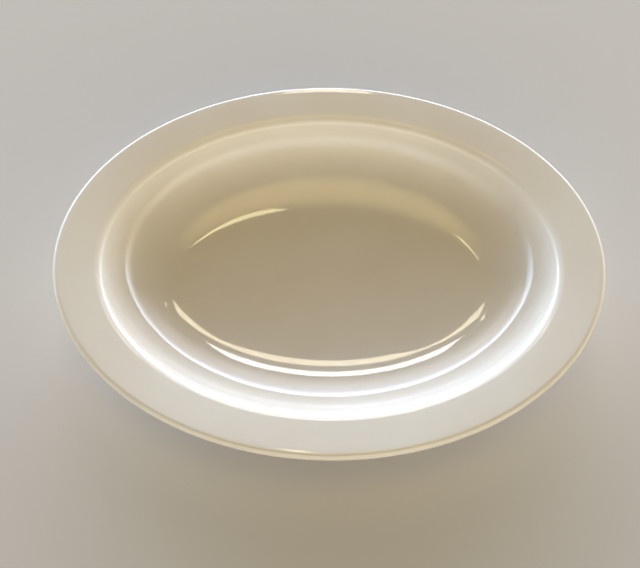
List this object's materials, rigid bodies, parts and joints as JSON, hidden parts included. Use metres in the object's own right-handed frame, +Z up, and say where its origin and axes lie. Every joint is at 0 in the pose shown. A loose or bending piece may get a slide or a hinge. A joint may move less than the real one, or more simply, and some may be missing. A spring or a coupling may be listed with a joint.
{
  "type": "oval serving dish",
  "caption": "Deep oval serving dish in plain glazed china, with a domed rim, a steep-sided well, a flat floor and an oval foot ring.",
  "frame": {"origin": "under the dish's centre, on the plane that its foot stands on", "axes": "+X along the dish's length, +Y across it, +Z up out of the well"},
  "size_m": [0.254, 0.193, 0.0409],
  "materials": {
    "fired_china": "matt white fired clay, seen only where the glaze is wiped off",
    "bare_foot": "unglazed, matt, slightly grey from use on its bearing edge",
    "glaze": "high gloss, warm white"
  },
  "bodies": {
    "root": {"china_body": "fired_china", "foot_ring": "bare_foot", "glaze_coat": "glaze", "glaze_patch": "glaze"}
  },
  "joints": []
}
